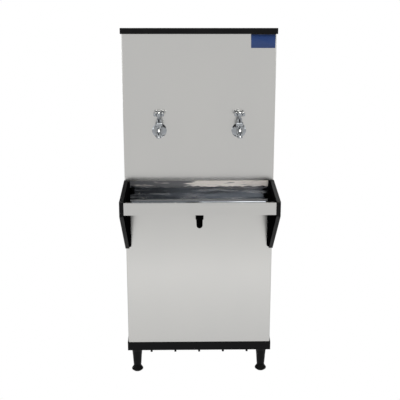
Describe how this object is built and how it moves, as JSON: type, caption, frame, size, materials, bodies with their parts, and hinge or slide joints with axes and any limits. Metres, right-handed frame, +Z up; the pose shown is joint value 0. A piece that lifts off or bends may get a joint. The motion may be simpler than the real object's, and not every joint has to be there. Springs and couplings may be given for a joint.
{
  "type": "industrial water cooler",
  "caption": "Free-standing refrigerated drinking-water cooler: stainless cabinet on moulded legs, compression taps over a drip tray, float-fed jacketed tank and wire-on-tube condenser.",
  "frame": {"origin": "on the floor, at the middle of the overall box in width and depth", "axes": "+Z up, -Y towards the taps and the user, +X to the user's right as they face the taps"},
  "size_m": [0.59, 0.7086, 1.392],
  "materials": {
    "black_plastic": "moulded, fine texture",
    "brushed_stainless": "brushed",
    "mirror_stainless": "polished",
    "zinc_steel": "zinc plated",
    "stainless_tank": "satin",
    "foam": "closed-cell foam",
    "copper": "drawn copper",
    "brass": "machined",
    "chrome": "polished chrome",
    "blue_float": "smooth",
    "white_plastic": "smooth",
    "grey_plastic": "moulded",
    "rubber": "soft",
    "black_enamel": "gloss enamel"
  },
  "bodies": {
    "cabinet": {"base": "black_plastic", "leg_front_left": "black_plastic", "leg_front_right": "black_plastic", "leg_rear_left": "black_plastic", "leg_rear_right": "black_plastic", "cabinet_front": "brushed_stainless", "cabinet_sides": "brushed_stainless", "rear_panel": "zinc_steel", "rear_panel_screws": "zinc_steel", "tank_shelf": "zinc_steel", "tank_jacket": "foam", "tank": "stainless_tank", "evaporator_coil": "copper", "float_valve": "brass", "float_valve_nuts": "brass", "float_pin": "zinc_steel", "thermostat": "zinc_steel", "compressor_rails": "zinc_steel", "compressor": "black_enamel", "terminal_cover": "black_plastic", "compressor_grommets": "rubber", "compressor_bolts": "zinc_steel", "condenser_tube": "black_enamel", "condenser_wires": "black_enamel", "condenser_lugs": "black_enamel", "filter_drier": "copper", "capillary_tube": "copper", "discharge_line": "copper", "suction_line": "copper", "waste_pipe": "grey_plastic", "cable_gland": "black_plastic", "tray_trough": "mirror_stainless", "tray_front_band": "brushed_stainless", "tray_bracket_left": "black_plastic", "tray_bracket_right": "black_plastic", "tray_bracket_screws": "zinc_steel", "waste_strainer": "mirror_stainless", "waste_nut": "black_plastic", "waste_elbow": "black_plastic", "tap_body_left": "chrome", "tap_body_right": "chrome", "tap_flanges": "chrome", "tap_backnuts": "brass", "tap_bonnets": "chrome"},
    "lid": {"lid": "black_plastic", "lid_plug": "foam"},
    "tap_left": {"tap_stem_left": "brass", "tap_handle_left": "chrome"},
    "tap_right": {"tap_stem_right": "brass", "tap_handle_right": "chrome"},
    "jumper_left": {"tap_jumper_left": "rubber"},
    "jumper_right": {"tap_jumper_right": "rubber"},
    "float": {"float_arm": "brass", "float_ball": "blue_float"},
    "plunger": {"float_plunger": "white_plastic"},
    "knob": {"thermostat_knob": "black_plastic"},
    "foot_front_left": {"foot_front_left": "black_plastic"},
    "foot_front_right": {"foot_front_right": "black_plastic"},
    "foot_rear_left": {"foot_rear_left": "black_plastic"},
    "foot_rear_right": {"foot_rear_right": "black_plastic"}
  },
  "joints": [
    {"name": "lid_lift", "type": "slide", "parent": "cabinet", "child": "lid", "axis": [0, 0, 1], "range_m": [0, 0.12]},
    {"name": "tap_left_turn", "type": "hinge", "parent": "cabinet", "child": "tap_left", "pos_m": [-0.152, -0.1669, 1.011], "axis": [0, 0, 1], "range_deg": [0, 540]},
    {"name": "tap_right_turn", "type": "hinge", "parent": "cabinet", "child": "tap_right", "pos_m": [0.152, -0.1669, 1.011], "axis": [0, 0, 1], "range_deg": [0, 540]},
    {"name": "tap_left_rise", "type": "slide", "parent": "cabinet", "child": "jumper_left", "axis": [0, 0, 1], "range_m": [0, 0.004]},
    {"name": "tap_right_rise", "type": "slide", "parent": "cabinet", "child": "jumper_right", "axis": [0, 0, 1], "range_m": [0, 0.004]},
    {"name": "float_swing", "type": "hinge", "parent": "cabinet", "child": "float", "pos_m": [0.12, 0.2186, 1.277], "axis": [-1, 0, 0], "range_deg": [0, 40]},
    {"name": "plunger_push", "type": "slide", "parent": "cabinet", "child": "plunger", "axis": [0, 1, 0], "range_m": [0, 0.0056]},
    {"name": "thermostat_turn", "type": "hinge", "parent": "cabinet", "child": "knob", "pos_m": [0.244, 0.3271, 0.879], "axis": [0, 1, 0], "range_deg": [0, 270]},
    {"name": "foot_front_left_screw", "type": "slide", "parent": "cabinet", "child": "foot_front_left", "axis": [0, 0, -1], "range_m": [0, 0.015]},
    {"name": "foot_front_right_screw", "type": "slide", "parent": "cabinet", "child": "foot_front_right", "axis": [0, 0, -1], "range_m": [0, 0.015]},
    {"name": "foot_rear_left_screw", "type": "slide", "parent": "cabinet", "child": "foot_rear_left", "axis": [0, 0, -1], "range_m": [0, 0.015]},
    {"name": "foot_rear_right_screw", "type": "slide", "parent": "cabinet", "child": "foot_rear_right", "axis": [0, 0, -1], "range_m": [0, 0.015]}
  ],
  "couplings": [
    {"joint": "tap_left_rise", "follows": "tap_left_turn", "m_per_rad": 0.00042399},
    {"joint": "tap_right_rise", "follows": "tap_right_turn", "m_per_rad": 0.00042399},
    {"joint": "plunger_push", "follows": "float_swing", "m_per_rad": 0.008}
  ]
}
